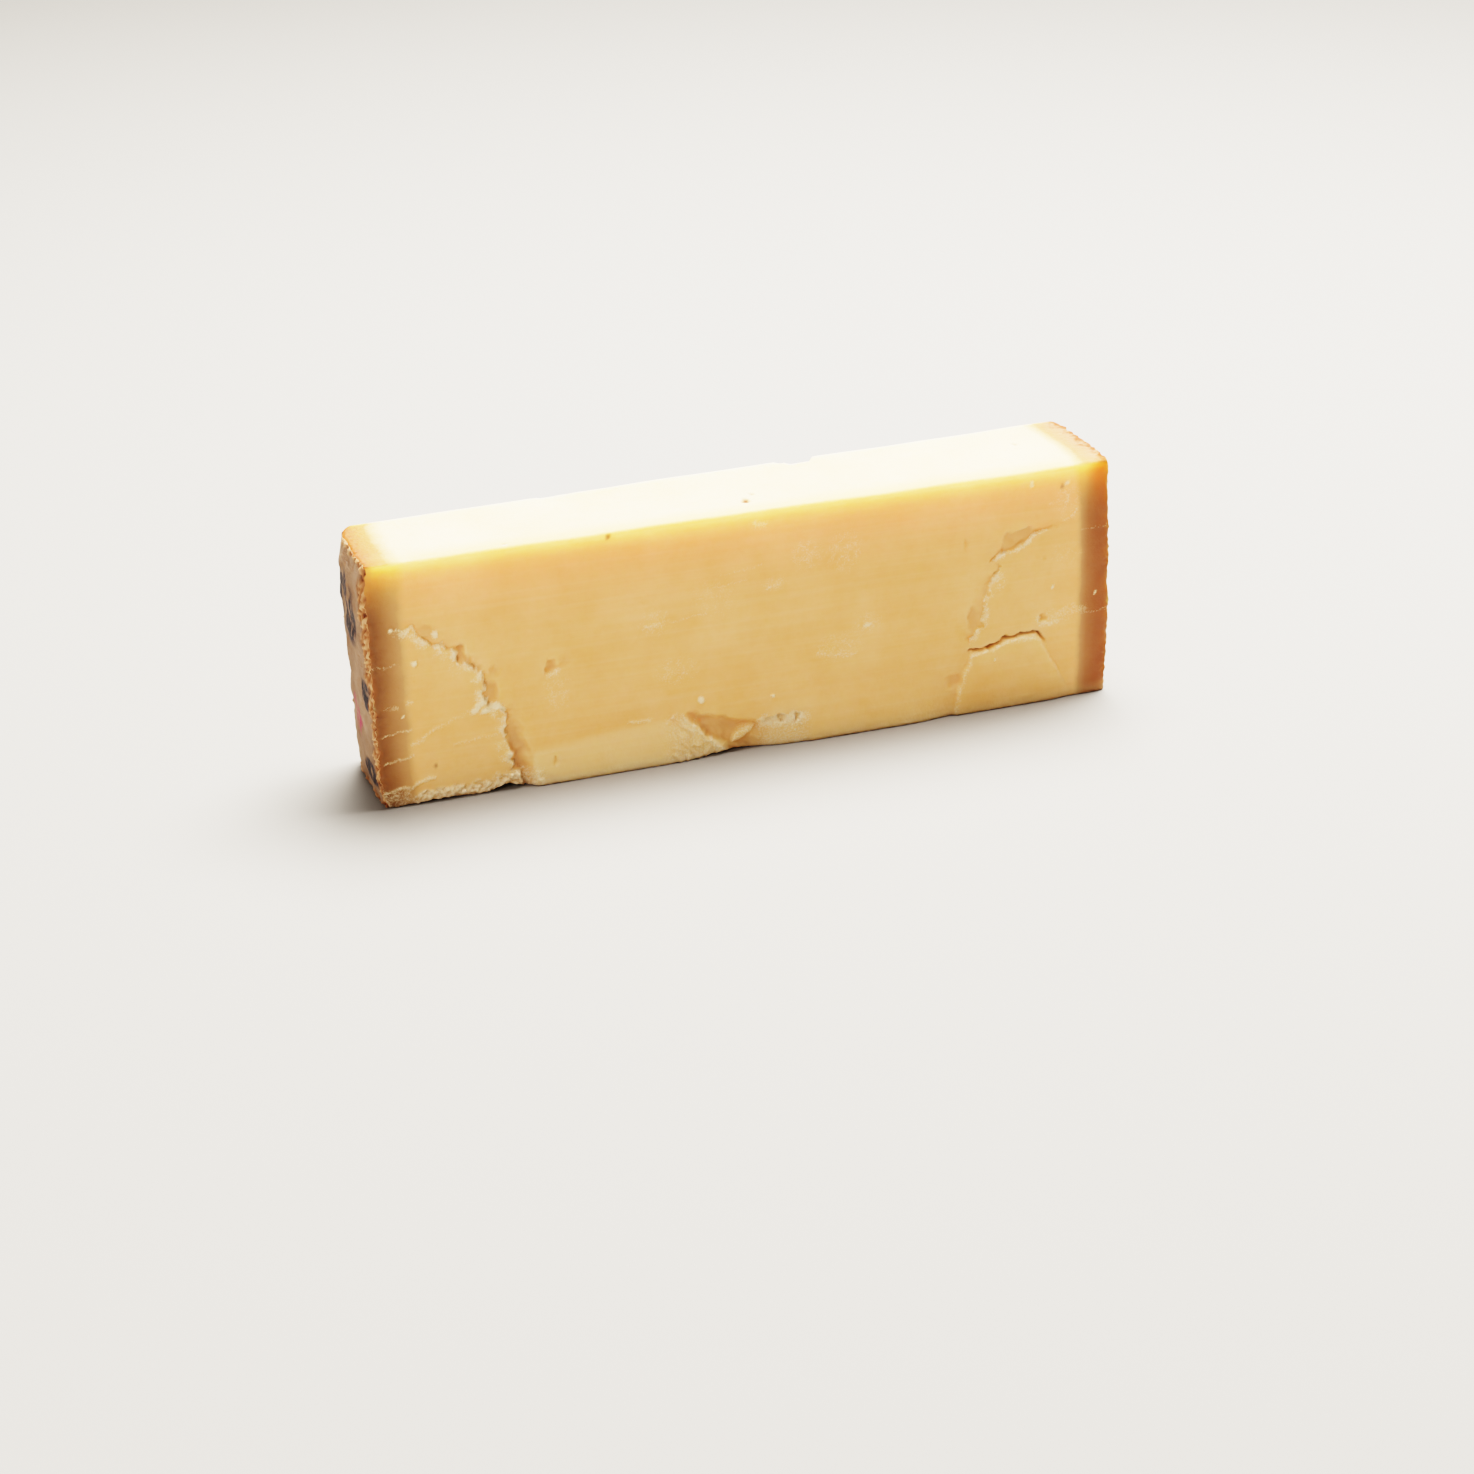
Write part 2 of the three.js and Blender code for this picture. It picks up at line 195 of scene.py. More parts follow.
# Thin light scratches and ridges that the knife drew across the cut: corners, half width and strength.
STROKES = [
    ([(1.5, 37.0), (8, 37.4)], 0.18, 0.4),
    ([(2.4, 25.9), (10.4, 27.0)], 0.2, 0.65),
    ([(2.2, 19.3), (9.4, 20.0)], 0.2, 0.75),
    ([(2.4, 11.9), (10, 13.1)], 0.2, 0.75),
    ([(2.2, 4.3), (6, 5.0), (8.4, 4.5), (11.6, 6.3), (14, 6.5)], 0.35, 1.0),
    ([(9.4, 16), (12, 16.9), (13, 18), (16.6, 19.8)], 0.4, 0.55),
    ([(16.6, 19.8), (25, 22.8)], 0.35, 0.25),
    ([(20, 14.4), (30.4, 15.4)], 0.3, 0.35),
    ([(30.6, 9.0), (33.6, 9.9)], 0.25, 0.4),
    ([(12, 45.6), (14.2, 41.2)], 0.3, 0.3),
    ([(64.2, 12.7), (69.2, 12.4)], 0.4, 0.8),
    ([(73.6, 10.6), (76, 13.0)], 0.35, 0.5),
    ([(80.4, 8.8), (80.9, 10.2), (81.5, 10.3)], 0.25, 0.6),
    ([(25.2, 22.4), (26.6, 23.6), (28.2, 24.6)], 0.7, 1.7),
    ([(27.6, 21.8), (29.2, 22.8), (31.2, 22.8), (32.6, 21.4)], 0.6, 1.9),
    ([(43.6, 28.2), (45, 28.6), (46.6, 29.2)], 0.3, 0.8),
    ([(113.2, 23.5), (117.3, 21.8), (122.9, 21.5)], 0.35, 0.5),
    ([(69, 37.2), (73, 37.4)], 0.25, 0.7),
    ([(76, 37.6), (84.4, 38.3)], 0.14, 0.45),
    ([(84, 44.4), (96, 45.8)], 0.14, 0.35),
    ([(88, 47.4), (99, 48.8)], 0.14, 0.3),
    ([(100.4, 42.6), (103.6, 43.1)], 0.25, 0.7),
    ([(97.8, 60.2), (99.0, 59.4), (100.6, 59.6)], 0.3, 1.0),
    ([(180.2, 49.0), (182.0, 49.6), (183.6, 51.6)], 0.25, 0.8),
    ([(179.6, 56.4), (181.2, 55.0), (180.6, 53.2)], 0.25, 0.7),
    ([(176, 53.6), (178.4, 54.4), (179.4, 57.4)], 0.3, 0.3),
    ([(184.8, 45.6), (192.6, 45.9)], 0.15, 0.25),
    ([(184.8, 22.6), (192.6, 22.9)], 0.15, 0.3),
    ([(173.2, 23.4), (174.3, 21.2), (178.6, 21.5)], 0.45, 0.8),
    ([(177.4, 22.6), (182, 24.4), (185.6, 24.0)], 0.9, 0.4),
]

# White crystals, as (x, z, radius).
CRYSTALS = [
    (11.5, 37.0, 0.8), (6.3, 46.2, 0.6), (7.7, 23.8, 0.4), (16.9, 43.6, 0.9), (82.6, 15.6, 0.9),
    (101.5, 13.4, 0.45), (126.9, 28.8, 0.8), (177.0, 31.3, 0.6), (171.0, 59.6, 0.7), (180.7, 58.6, 0.6),
    (189.0, 27.8, 0.22), (187.8, 28.4, 0.22), (161.0, 14.0, 0.4), (108.6, 5.0, 0.3), (106.9, 3.8, 0.3)]

# Patches where the knife tore the cut rough: middle (x, z), reach and strength.
TORN = [
    ((46, 24), (4, 6), 0.45), ((71.5, 38), (4.5, 4), 0.5), ((76.5, 24.5), (6, 4), 0.6),
    ((99, 59.5), (3, 1.5), 0.6), ((102.5, 43.5), (3.5, 2), 0.6), ((111, 50), (4.5, 4.5), 0.85),
    ((121, 49.5), (5, 6), 0.75), ((119, 24), (7, 4), 0.5), ((127, 29), (4, 3), 0.6),
    ((162.5, 35), (2.2, 3), 0.9), ((181, 54), (4, 6), 0.45), ((180.5, 39.5), (5, 4), 0.3),
    ((87, 42), (7, 6), 0.25), ((178, 23), (6, 2.5), 0.5)]


def crack(route, sx, sz, deep, width, lip):
    """A crack along a route: the left side of its way sinks towards it, by an exponential of the distance
    over the width; the right side stands as a lip of crumbled paste with a steep edge. Gives the depth of
    the sunk side, the shares of the lip, which is painted whiter partly as painted highlight, and of the
    seam between the two, which is painted dark as painted shade, and the distance from the crack."""
    s, run = along(route, sx, sz)
    ends = ease(0, 3, run)
    uneven = np.clip(0.75 + 0.45 * ripple(6, len(route), run, 0 * run), 0.15, 1.5)
    sunk = np.where(s > 0, np.exp(-np.abs(s) / width), np.clip(1 + s / 0.45, 0, 1))
    clumps = ease(-lip, -0.3, s) * ease(-0.35, 0.6, ripple(4.5, 17, run, s))
    edge = ends * ease(0.25, -0.1, s) * np.maximum(0.85 * ease(-0.7, -0.1, s), clumps)
    seam = ends * ease(0.55, 0.15, np.abs(s - 0.35)) * ease(-0.15, 0.6, ripple(5, 19, run, 0 * run))
    return deep * ends * uneven * sunk, edge, seam, s


def loosened_piece(x, z, sx, sz):
    """The open crack under the right one, and the piece below it that it has loosened: the shares of the
    cleft, which is later painted dark as painted shade, of that piece, which stands forward, and of that
    piece's pale rim, a painted highlight along the edges that catch the light."""
    s, run = along(OPEN_CRACK, 0.6 * x + 0.4 * sx, 0.6 * z + 0.4 * sz)
    half_width = 0.06 + 0.12 * hill(run, 6.5, 6) + 0.1 * hill(run, 15, 14)
    half_width = half_width + 0.08 * ripple(3, 18, run, 0 * run)
    cleft = ease(half_width + 0.3, half_width, np.abs(s)) * ease(25, 20, run)
    top, _ = along(LOOSE_TOP, 0.4 * x + 0.6 * sx, 0.4 * z + 0.6 * sz)
    side, _ = along(LOOSE_SIDE, 0.5 * x + 0.5 * sx, 0.5 * z + 0.5 * sz)
    loose = ease(0.1, -0.5, top) * ease(-0.1, 0.5, side) * ease(183, 176, x) * (z < 20) * (x > 148)
    rim = loose * (ease(-1.2, -0.3, top) * ease(175, 171, x) + 0.6 * ease(1.4, 0.2, side) * (x < 158))
    return cleft, loose, rim


def base_break(x, z, sx, sz):
    """The break in the base edge: the share of the broken hollow and its depth, the share of the sliver
    left standing in it, the share of the flaked paste on its left, the height of its leaves and its pale
    rim, and the shares of the crumbled paste on its right and of the pitted part of that."""
    t, _ = along(BREAK_TOP, 0.5 * (x + sx), 0.5 * (z + sz))
    b, _ = along(BREAK_SIDE, 0.5 * (x + sx), 0.5 * (z + sz))
    hollow = ease(-0.2, 2.0, -t) * ease(-0.1, 1.9, b) * ease(102, 95, x) * (z < 15)
    hollow = hollow * (0.35 + 0.65 * ease(78, 82.5, x))
    deep = hollow * (1.35 + 0.4 * ripple(6, 7, x, z) + 0.09 * (z - 4) + 0.15 * ripple(1.8, 8, x, z))
    s, run = along(SLIVER, x, z)
    half_width = 1.5 * np.sqrt(np.clip(1.02 - ((run - 3.4) / 3.4) ** 2, 0.04, 1))
    sliver = ease(1.1, 0.55, np.abs(s) / half_width) * hollow
    flaked = ease(0.3, -0.5, b) * ease(71, 77, x) * ease(13.4, 11.5, z) * (x < 90)
    leaves = ((0.75 * x + 0.55 * z + 1.3 * ripple(5, 9, x, z)) / 2.1) % 1
    flaked_rim = ease(-1.0, -0.2, b)
    crumbled = ease(96, 99, x) * ease(112, 108, x) * ease(9.0, 8.0, z + 0.5 * ripple(2.5, 14, x, z))
    pitted = crumbled * ease(3.4, 6.8, z)
    return hollow, deep, sliver, flaked, leaves, flaked_rim, crumbled, pitted


def crushed_base(x, z):
    """Crushed paste along the base: the shares of the fringe at the left, of the chipped corner beside
    the rind, and of the furrow's foot."""
    ragged = z + 0.9 * ripple(4, 10, x, z) - 0.05 * np.clip(x - 20, 0, 14)
    fringe = ease(8, 10, x) * ease(38, 34, x) * ease(3.7, 2.3, ragged)
    chipped = ease(8.8, 7.6, x) * ease(4.6, 4.0, z + 0.3 * ripple(3, 15, x, z))
    foot = ease(6, 2.5, z) * ease(32.5, 34, x) * ease(43, 39, x)
    return fringe, chipped, foot


def knife_marks(x, z, sx, sz):
    """The shares of the torn patches, of the thin scratches and of the white crystals."""
    torn = np.zeros(x.shape)
    for (cx, cz), (rx, rz), share in TORN:
        torn = torn + share * ease(1.2, 0.35, np.hypot((x - cx) / rx, (z - cz) / rz))
    torn = torn * ease(-0.9, 0.4, ripple(2.4, 16, x, z))
    scratches = np.zeros(x.shape)
    for route, width, strength in STROKES:
        away, _ = along(route, 0.6 * x + 0.4 * sx, 0.6 * z + 0.4 * sz)
        scratches = np.maximum(scratches, strength * ease(2 * width, 0.5 * width, np.abs(away)))
    crystals = np.zeros(x.shape)
    for cx, cz, radius in CRYSTALS:
        away = np.hypot(0.3 * sx + 0.7 * x - cx, 0.3 * sz + 0.7 * z - cz)
        crystals = np.maximum(crystals, ease(1.25, 0.6, away / radius))
    return torn, scratches, crystals


def front_relief(x, z):
    """How far the front cut lies behind its plane, and four shares for its colour: how white it is, for
    crumbled paste and partly as painted highlight on lips, grain tops, crests and rims that catch the
    light; how deep in broken paste, partly as painted shade in hollows, pits and between grains; how dark
    inside a crack, which is painted shade; and how much paler the trimmed foot and the base edge are
    painted, which is painted light. Cracks and hollows are measured on slightly shaken places, which makes
    them ragged. The deepest of the hollows counts; what stands up is then taken off: the stroke along the
    foot, lips, crumbled grains, scratches and crystals."""
    sx = x + 0.5 * ripple(3.6, 1, x, z) + 0.24 * ripple(1.5, 2, x, z)
    sz = z + 0.5 * ripple(3.2, 3, x, z) + 0.24 * ripple(1.4, 4, x, z)
    grain = 0.7 * grains(1.3, 1, x, z) + 0.5 * grains(0.75, 2, x, z)

    left_sunk, left_lip, left_seam, s = crack(LEFT_CRACK, sx, sz, 1.3, 1.8, 3.4)
    f, _ = along(FURROW_EDGE, sx, sz)
    furrow = 1.8 * ease(-0.2, 1.2, s) * ease(0, 3.2, -f) * ease(26, 9, z) * (x < 44)
    right_sunk, right_lip, right_seam, _ = crack(RIGHT_CRACK, sx, sz, 0.9, 1.6, 2.0)

    # the ledge, shaken less, and the scoop above it that two of its edges cut off straight
    ledge_x, ledge_z = x + 0.6 * (sx - x), z + 0.6 * (sz - z)
    ledge_sunk, ledge_lip, ledge_seam, s = crack(LEDGE, ledge_x, ledge_z, 1.1, 2.2, 1.4)
    scoop = ease(0, 0.5, s) * ease(162.7, 163.7, sx) * ease(172.8, 170.8, sx)
    scoop = scoop * ease(48.1, 47.2, sz - 0.1 * (sx - 166)) * (1.0 + 0.3 * ripple(5, 25, x, z))
    dents = np.maximum.reduce([scoop] + [dent(sx, sz, *sizes) for sizes in DENTS])

    cleft, loose, loose_rim = loosened_piece(x, z, sx, sz)
    hollow, broken, sliver, flaked, leaves, flaked_rim, crumbled, pitted = base_break(x, z, sx, sz)
    crushed, chipped, foot = crushed_base(x, z)
    torn, scratches, crystals = knife_marks(x, z, sx, sz)

    # the second stroke of the knife along the foot leans out to the base, in two stretches
    trim = np.clip(1 - z / (12.4 + 0.012 * (x - 60) - 2.0 * ease(62, 38, x)), 0, 1)
    stretches = ease(38.5, 40, x) * (1 - ease(75, 92, x)) + ease(96, 108, x) * ease(152, 138, x)

    depth = np.maximum.reduce([left_sunk, furrow, ledge_sunk, right_sunk, broken - 1.5 * sliver, dents])
    depth = depth + 1.5 * cleft * (1 - 0.8 * loose) - 0.8 * loose
    depth = depth - FOOT_OUT * trim * stretches * (1 - hollow) + flaked * (0.6 * leaves - 0.15)
    depth = depth + 0.5 * crumbled * (1 - hollow) - 0.45 * grain * pitted + 0.5 * chipped * (1 - grain)
    depth = depth - 0.2 * (0.3 + grain) * (left_lip + 0.8 * ledge_lip + right_lip)
    depth = depth - 0.9 * crushed * (grain - 0.45) - 0.45 * foot * (grain - 0.4)
    depth = depth - 0.08 * torn * grain - 0.14 * scratches - 0.25 * crystals
    depth = depth + 0.35 * (left_seam + ledge_seam + right_seam)
    depth = depth + 0.12 * ripple(28, 12, x, z) + 0.02 * ripple(2.2, 13, x, z)

    # partly painted highlight: lips, grain tops, flake crests, rims, the sliver and torn patches are
    # whitened where they catch the light, on top of the real whiteness of crumbled paste
    crumbs_and_highlights = np.maximum.reduce([
        left_lip * (0.5 + 0.45 * grain), ledge_lip * (0.55 + 0.3 * grain), right_lip * (0.4 + 0.45 * grain),
        crushed * (0.12 + 0.82 * grain), chipped * (0.08 + 0.4 * grain), foot * (0.1 + 0.6 * grain),
        pitted * (0.45 + 0.45 * grain), 0.2 * crumbled, flaked * (0.1 + 0.2 * leaves + 0.5 * flaked_rim),
        0.25 * sliver, 0.5 * loose_rim, 0.24 * torn, 0.5 * scratches, 0.9 * crystals])
    # painted shade: the open cleft and the crack seams are painted dark where they lie in shadow
    dark = np.maximum.reduce([cleft * (1 - loose), 0.55 * left_seam, 0.25 * ledge_seam, 0.35 * right_seam])
    # partly painted shade: sunk crack sides, the furrow, the break, dents, pits and the gaps between grains
    # and flake leaves get a deeper tint, on top of the broken paste's own colour
    recess_tint_and_shade = np.maximum.reduce([
        0.35 * left_sunk, 0.25 * ledge_sunk, 0.3 * right_sunk, 0.4 * broken, 0.6 * furrow, 0.5 * dents,
        1.2 * (crushed + foot) * (1 - grain), 0.5 * flaked * (1 - leaves), 2.0 * dents * pitted])
    recess_tint_and_shade = np.clip(recess_tint_and_shade / 1.4, 0, 1) * (1 - 0.9 * sliver)
    # painted light: the trimmed foot and the strip along the base are painted paler, standing in for the
    # light they catch
    painted_foot_light = 0.7 * ease(0, 0.2, trim * stretches) * ease(120, 90, x)
    painted_foot_light = (painted_foot_light + 0.3 * ease(4, 0.5, z) * ease(38, 44, x)) * (1 - hollow)
    return depth, np.clip(crumbs_and_highlights, 0, 1), recess_tint_and_shade, dark, painted_foot_light


def rind_roughness(y, z, seed):
    """A wheel's rind is lumpy and scuffed: waves of three lengths."""
    coarse, middling, fine = ripple(9, seed, y, z), ripple(3.2, seed + 1, y, z), ripple(1.4, seed + 2, y, z)
    return 0.22 * coarse + 0.1 * middling + 0.04 * fine


def rind_rim(y, z, depth, seed):
    """Near its cut edges the rind is torn: how far a place belongs to that rim, and the lumps on it."""
    edge = np.minimum.reduce([y, 1.2 * (depth - y), 1.3 * (HEIGHT - z) + 0.8, 1.5 * z + 1.5])
    edge = edge + 1.1 * ripple(6, seed, y, z)
    lumps = 0.4 * ripple(4.4, seed + 1, 1.5 * y, z) + 0.5 * ripple(2.2, seed + 2, 1.2 * y, z)
    lumps = lumps + 0.35 * ease(1.4, 0.2, y)
    return ease(4.4, 2.4, edge), lumps + 0.45 * ripple(1.2, seed + 3, y, z)


def left_rind(y, z, depth):
    """x of the printed rind end and its roughness: bellied, most of all high up, rounded off to the back
    and drawn in at its foot."""
    across = np.sqrt(np.clip(4 * (y / depth) * (1 - y / depth), 0, 1))
    belly = across * (0.45 + 0.55 * ease(14, 50, z)) * (0.25 + 0.75 * ease(HEIGHT, HEIGHT - 7, z))
    shoulder = CORNER_ROUND * np.clip((y / depth - 0.74) / 0.26, 0, 1) ** 3
    rim, lumps = rind_rim(y, z, depth, 60)
    rough = rind_roughness(y, z, 20) * (1 - 0.5 * rim) - 0.6 * rim * lumps
    return LEFT_EDGE - RIND_BULGE * belly + shoulder + 0.9 * ease(12, 0, z), rough


def right_rind(y, z, depth):
    """x of the plain rind end and its roughness: bellied across, most at four tenths of the height."""
    upright = 1 - ((z - 0.42 * HEIGHT) / (0.6 * HEIGHT)) ** 2
    across = np.clip(4 * (y / depth) * (1 - y / depth), 0, 1) ** 0.8
    rim, lumps = rind_rim(y, z, depth, 70)
    rough = 0.7 * rind_roughness(y, z, 30)
    rough = rough + (0.16 + 0.5 * ease(HEIGHT - 8, HEIGHT, z) * ease(3, 9, y)) * rim * lumps
    return LEFT_EDGE + LENGTH + RIND_BULGE * (0.6 * upright + 0.6 * across), rough


def back_cut(x, z):
    """y of the back cut: it widens to the right and leans out towards the base."""
    widening = DEPTH_LEFT + (DEPTH_RIGHT - DEPTH_LEFT) * np.clip(x / LENGTH, 0, 1) ** 0.9
    return widening + BASE_SPREAD * (1 - z / HEIGHT) + 0.2 * ripple(26, 40, x, z)


# The back cut has one short crack like the front's, corner by corner, and pits, listed as in DENTS.
BACK_CRACK = [(141, -2), (143.5, 7), (141.6, 14), (146, 21), (149, 29), (156, 34), (161, 35)]
BACK_DENTS = [
    ((52, 40), (1.8, 1.4), 20, 0.9), ((88, 18), (1.4, 1.9), 0, 0.9), ((120, 46), (1.3, 1.3), 0, 0.7),
    ((30, 22), (2.4, 1.5), -20, 0.9), ((147, 26), (2.6, 1.8), 40, 1.1), ((174, 48), (1.4, 1.2), 0, 0.7)]


def back_relief(x, z):
    """How far the back cut is sunk, how white its crack's lip and its strokes are, and how deep in broken
    paste, partly painted shade in its pits and beside its crack.
    """
    sx = x + 0.8 * ripple(4.5, 41, x, z)
    sz = z + 0.8 * ripple(4.2, 42, x, z)
    s, run = along(BACK_CRACK, sx, sz)
    ends = ease(0, 3, run) * ease(50, 42, run)
    sunk = ends * np.where(s > 0, np.exp(-np.abs(s) / 2), np.clip(1 + s / 0.9, 0, 1))
    lip = ends * ease(0.3, -0.4, s) * ease(-2.4, -0.6, s)
    strokes = ease(0.5, 0.95, ripple(40, 43, 0.15 * x, 12 * z))
    pits = np.maximum.reduce([dent(sx, sz, *sizes) for sizes in BACK_DENTS])
    # the last share is partly painted shade, a deeper tint in the pits and beside the crack
    return np.maximum(sunk, pits) - 0.25 * lip, 0.7 * lip + 0.2 * strokes, 0.5 * pits + 0.4 * sunk


# Brown specks, as (x, y, z, radius, strength): a pit in the top cut with a torn trail, and dots.
SPECKS = [
    (98, 7.6, 63.2, 1.0, 1.0), (98.4, 8.8, 63.2, 0.8, 1.0), (101, 12.2, 63.2, 0.6, 0.7),
    (35.5, 1.6, 63.2, 0.5, 0.8), (175, 20.5, 63.2, 0.7, 0.6), (14.8, 0, 9.6, 0.45, 0.5),
    (60.4, 0, 62.2, 0.5, 0.6), (179.3, 0, 57.9, 0.5, 0.5)]

# The edge of a shallow place that a flake has left in the top cut, corner by corner as (x, y).
FLAKE = [(49, 31), (52, 28.5), (58, 22.5), (61, 20.5)]

# The base edge is lifted where it has broken: middle x, width and height of each lift.
LIFTS = [(15, 26, 0.55), (32.5, 12, 1.5), (89, 22, 0.7)]
CHIP_DEEP = 2.7  # the chip in the back top edge, measured along the way its plane faces
CHIP_WAY = (0.78, 0.62)  # that way, as shares of y and z


def rounded_box(p):
    """Points of a plain box, taken to the surface of the same box with rounded edges."""
    core = np.clip(p, KNIFE_EDGE, np.array([LENGTH, DEPTH, HEIGHT]) - KNIFE_EDGE)
    away = p - core
    reach = np.linalg.norm(away, axis=1, keepdims=True)
    return core + away * KNIFE_EDGE / np.maximum(reach, KNIFE_EDGE)


def top_marks(x, y, z):
    """The shares of the brown specks and of the shallow place that a flake has left in the top cut."""
    specks = np.zeros(x.shape)
    for cx, cy, cz, radius, strength in SPECKS:
        far = np.sqrt((x - cx) ** 2 + (y - cy) ** 2 + (0.7 * (z - cz)) ** 2)
        specks = np.maximum(specks, strength * ease(1.5, 0.5, far / radius))
    side, run = along(FLAKE, x + 0.6 * ripple(3, 53, x, y), y + 0.6 * ripple(3, 54, x, y))
    return specks, ease(0, 0.6, side) * ease(9, 2, side) * ease(0, 3, run) * ease(15, 11, run)


def past_chip(x, y, z, back):
    """How far a place stands past the slanted plane that takes the chip off the back top edge."""
    chip = CHIP_DEEP * ease(112.3, 118.5, x) * ease(124.4, 122.6, x) * (1 + 0.25 * ripple(3, 52, x, y))
    over = (y - back) * CHIP_WAY[0] + (z - HEIGHT) * CHIP_WAY[1] + chip
    return np.clip(over, 0, None) * (chip > 0.02) * (z > HEIGHT - 9)


def print_marks(x, y, z):
    """Where the printed rind may carry ink: the shares of three dark blots and of a pink one."""
    on_left = ease(6, 2, x)
    ink = hill(y - 0.15 * (z - 48), 17, 24) * hill(z, 48, 26) + hill(y, 6, 11) * hill(z, 28, 12)
    ink = np.maximum(ink, hill(y, 9, 16) * hill(z, 6.5, 9)) * on_left
    return ink, hill(y - 0.25 * (z - 18), 18, 9) * hill(z, 18, 18) * on_left


def slab_shape(p):
    """Takes points of a plain box to the slab's surface, and gives the shares that its finish needs
    there. The box's edges are rounded first; then the two rinds bound x, the two cuts bound y, the front
    relief pushes the paste back and fades with the depth, the base edge is lifted where it has broken,
    and the chip is taken off the back top edge."""
    p = rounded_box(p)
    u, v, z = p[:, 0] / LENGTH, p[:, 1] / DEPTH, p[:, 2]
    here = back_cut(LENGTH * u, z)
    left, left_rough = left_rind(here * v, z, here)
    right, right_rough = right_rind(here * v, z, here)
    x = left + (right - left) * u
    y = here * v
    right_gap = right - x
    gap = np.minimum(x - left, right_gap * np.clip(0.76 + 0.24 * (right_gap / WHOLE_BAND) ** 2, 0, 1))
    near_left = np.clip(1 - u * LENGTH / RIND_SKIN, 0, 1)
    near_right = np.clip(1 - (1 - u) * LENGTH / RIND_SKIN, 0, 1)
    x = x + left_rough * near_left + right_rough * near_right

    relief, crumbs_and_highlights, recess_tint_and_shade, dark, painted_foot_light = front_relief(x, z)
    fade = np.clip(1 - y / RELIEF_DEPTH, 0, 1) ** 2
    frayed = ease(1.8, 0, gap) * fade * (0.3 + 0.3 * ripple(1.3, 50, y, z, x))
    y = y + (relief + frayed) * fade
    behind, back_crumbs, back_recess_tint_and_shade = back_relief(x, z)
    at_back = ease(0.93, 1, v)
    y = y - behind * at_back

    lifted = sum(height * hill(x, middle, width) for middle, width, height in LIFTS)
    z = z + lifted * ease(6, 0, y) * ease(9, 0, z)
    specks, flake = top_marks(x, y, z)
    near_top = ease(0.9, 1, z / HEIGHT)
    wave = TOP_WAVE * ripple(30, 51, x, y)
    z = z + ease(0.6, 1, z / HEIGHT) * wave - near_top * (0.6 * specks + 0.3 * flake)
    over = past_chip(x, y, z, here)
    y, z = y - CHIP_WAY[0] * over, z - CHIP_WAY[1] * over

    rim, lumps = rind_rim(here * v, z, here, 60)
    ink, pink = print_marks(x, y, z)
    return np.stack([x, y, z], 1), {
        "rind_gap": gap,  # distance to the nearer rind, in millimetres; all others are shares
        "ruddy": ease(183.5, 191.4, x),
        # partly painted highlight: whiteness of crumbled paste and of edges and grains that catch the light
        "crumbly_and_highlit": crumbs_and_highlights * fade + back_crumbs * at_back,
        # deeper tint of broken paste, partly painted shade in hollows and pits
        "broken": recess_tint_and_shade * fade + back_recess_tint_and_shade * at_back,
        # painted shade inside the cracks
        "cleft": dark * fade,
        # painted light on the trimmed foot and along the base edge
        "painted_foot_light": painted_foot_light * ease(12, 6, y),
        "specks": specks,
        # painted light: where the top of the front cut takes the band's glowing copy
        "front_top_glow": ease(HEIGHT - 16, HEIGHT, z) ** 1.5 * ease(2.2, 0.6, y),
        # painted light: the glowing top front edge
        "glowing_top_edge": ease(HEIGHT - 1.6, HEIGHT - 0.2, z) * ease(9, 0, y),
        # the top cut, where the band takes its darker copy, painted to offset the light from above
        "on_top": ease(HEIGHT - 0.9, HEIGHT - 0.3, z) * ease(-0.4, 0.4, y),
        "rim": rim,
        # lump height for the torn rim's colour, which paints shade in its hollows and highlight on its tops
        "rim_lump_shading": np.clip(0.47 + 0.75 * lumps, 0, 1),
        "ink": ink,
        "pink": pink,
    }


def graded(length, fine, coarse, count, zones):
    """Places from 0 to length in count steps, about fine inside the zones and coarse elsewhere: equal
    shares of the running total of one over the wished step."""
    t = np.linspace(0, length, 4001)
    step = np.full(t.shape, coarse)
    for low, high in zones:
        step[(t >= low) & (t <= high)] = fine
    step = np.convolve(np.pad(step, 30, mode="edge"), np.ones(61) / 61, "valid")
    total = np.concatenate([[0], np.cumsum(1 / step[1:])])
    return np.interp(np.linspace(0, 1, count + 1), total / total[-1], t)


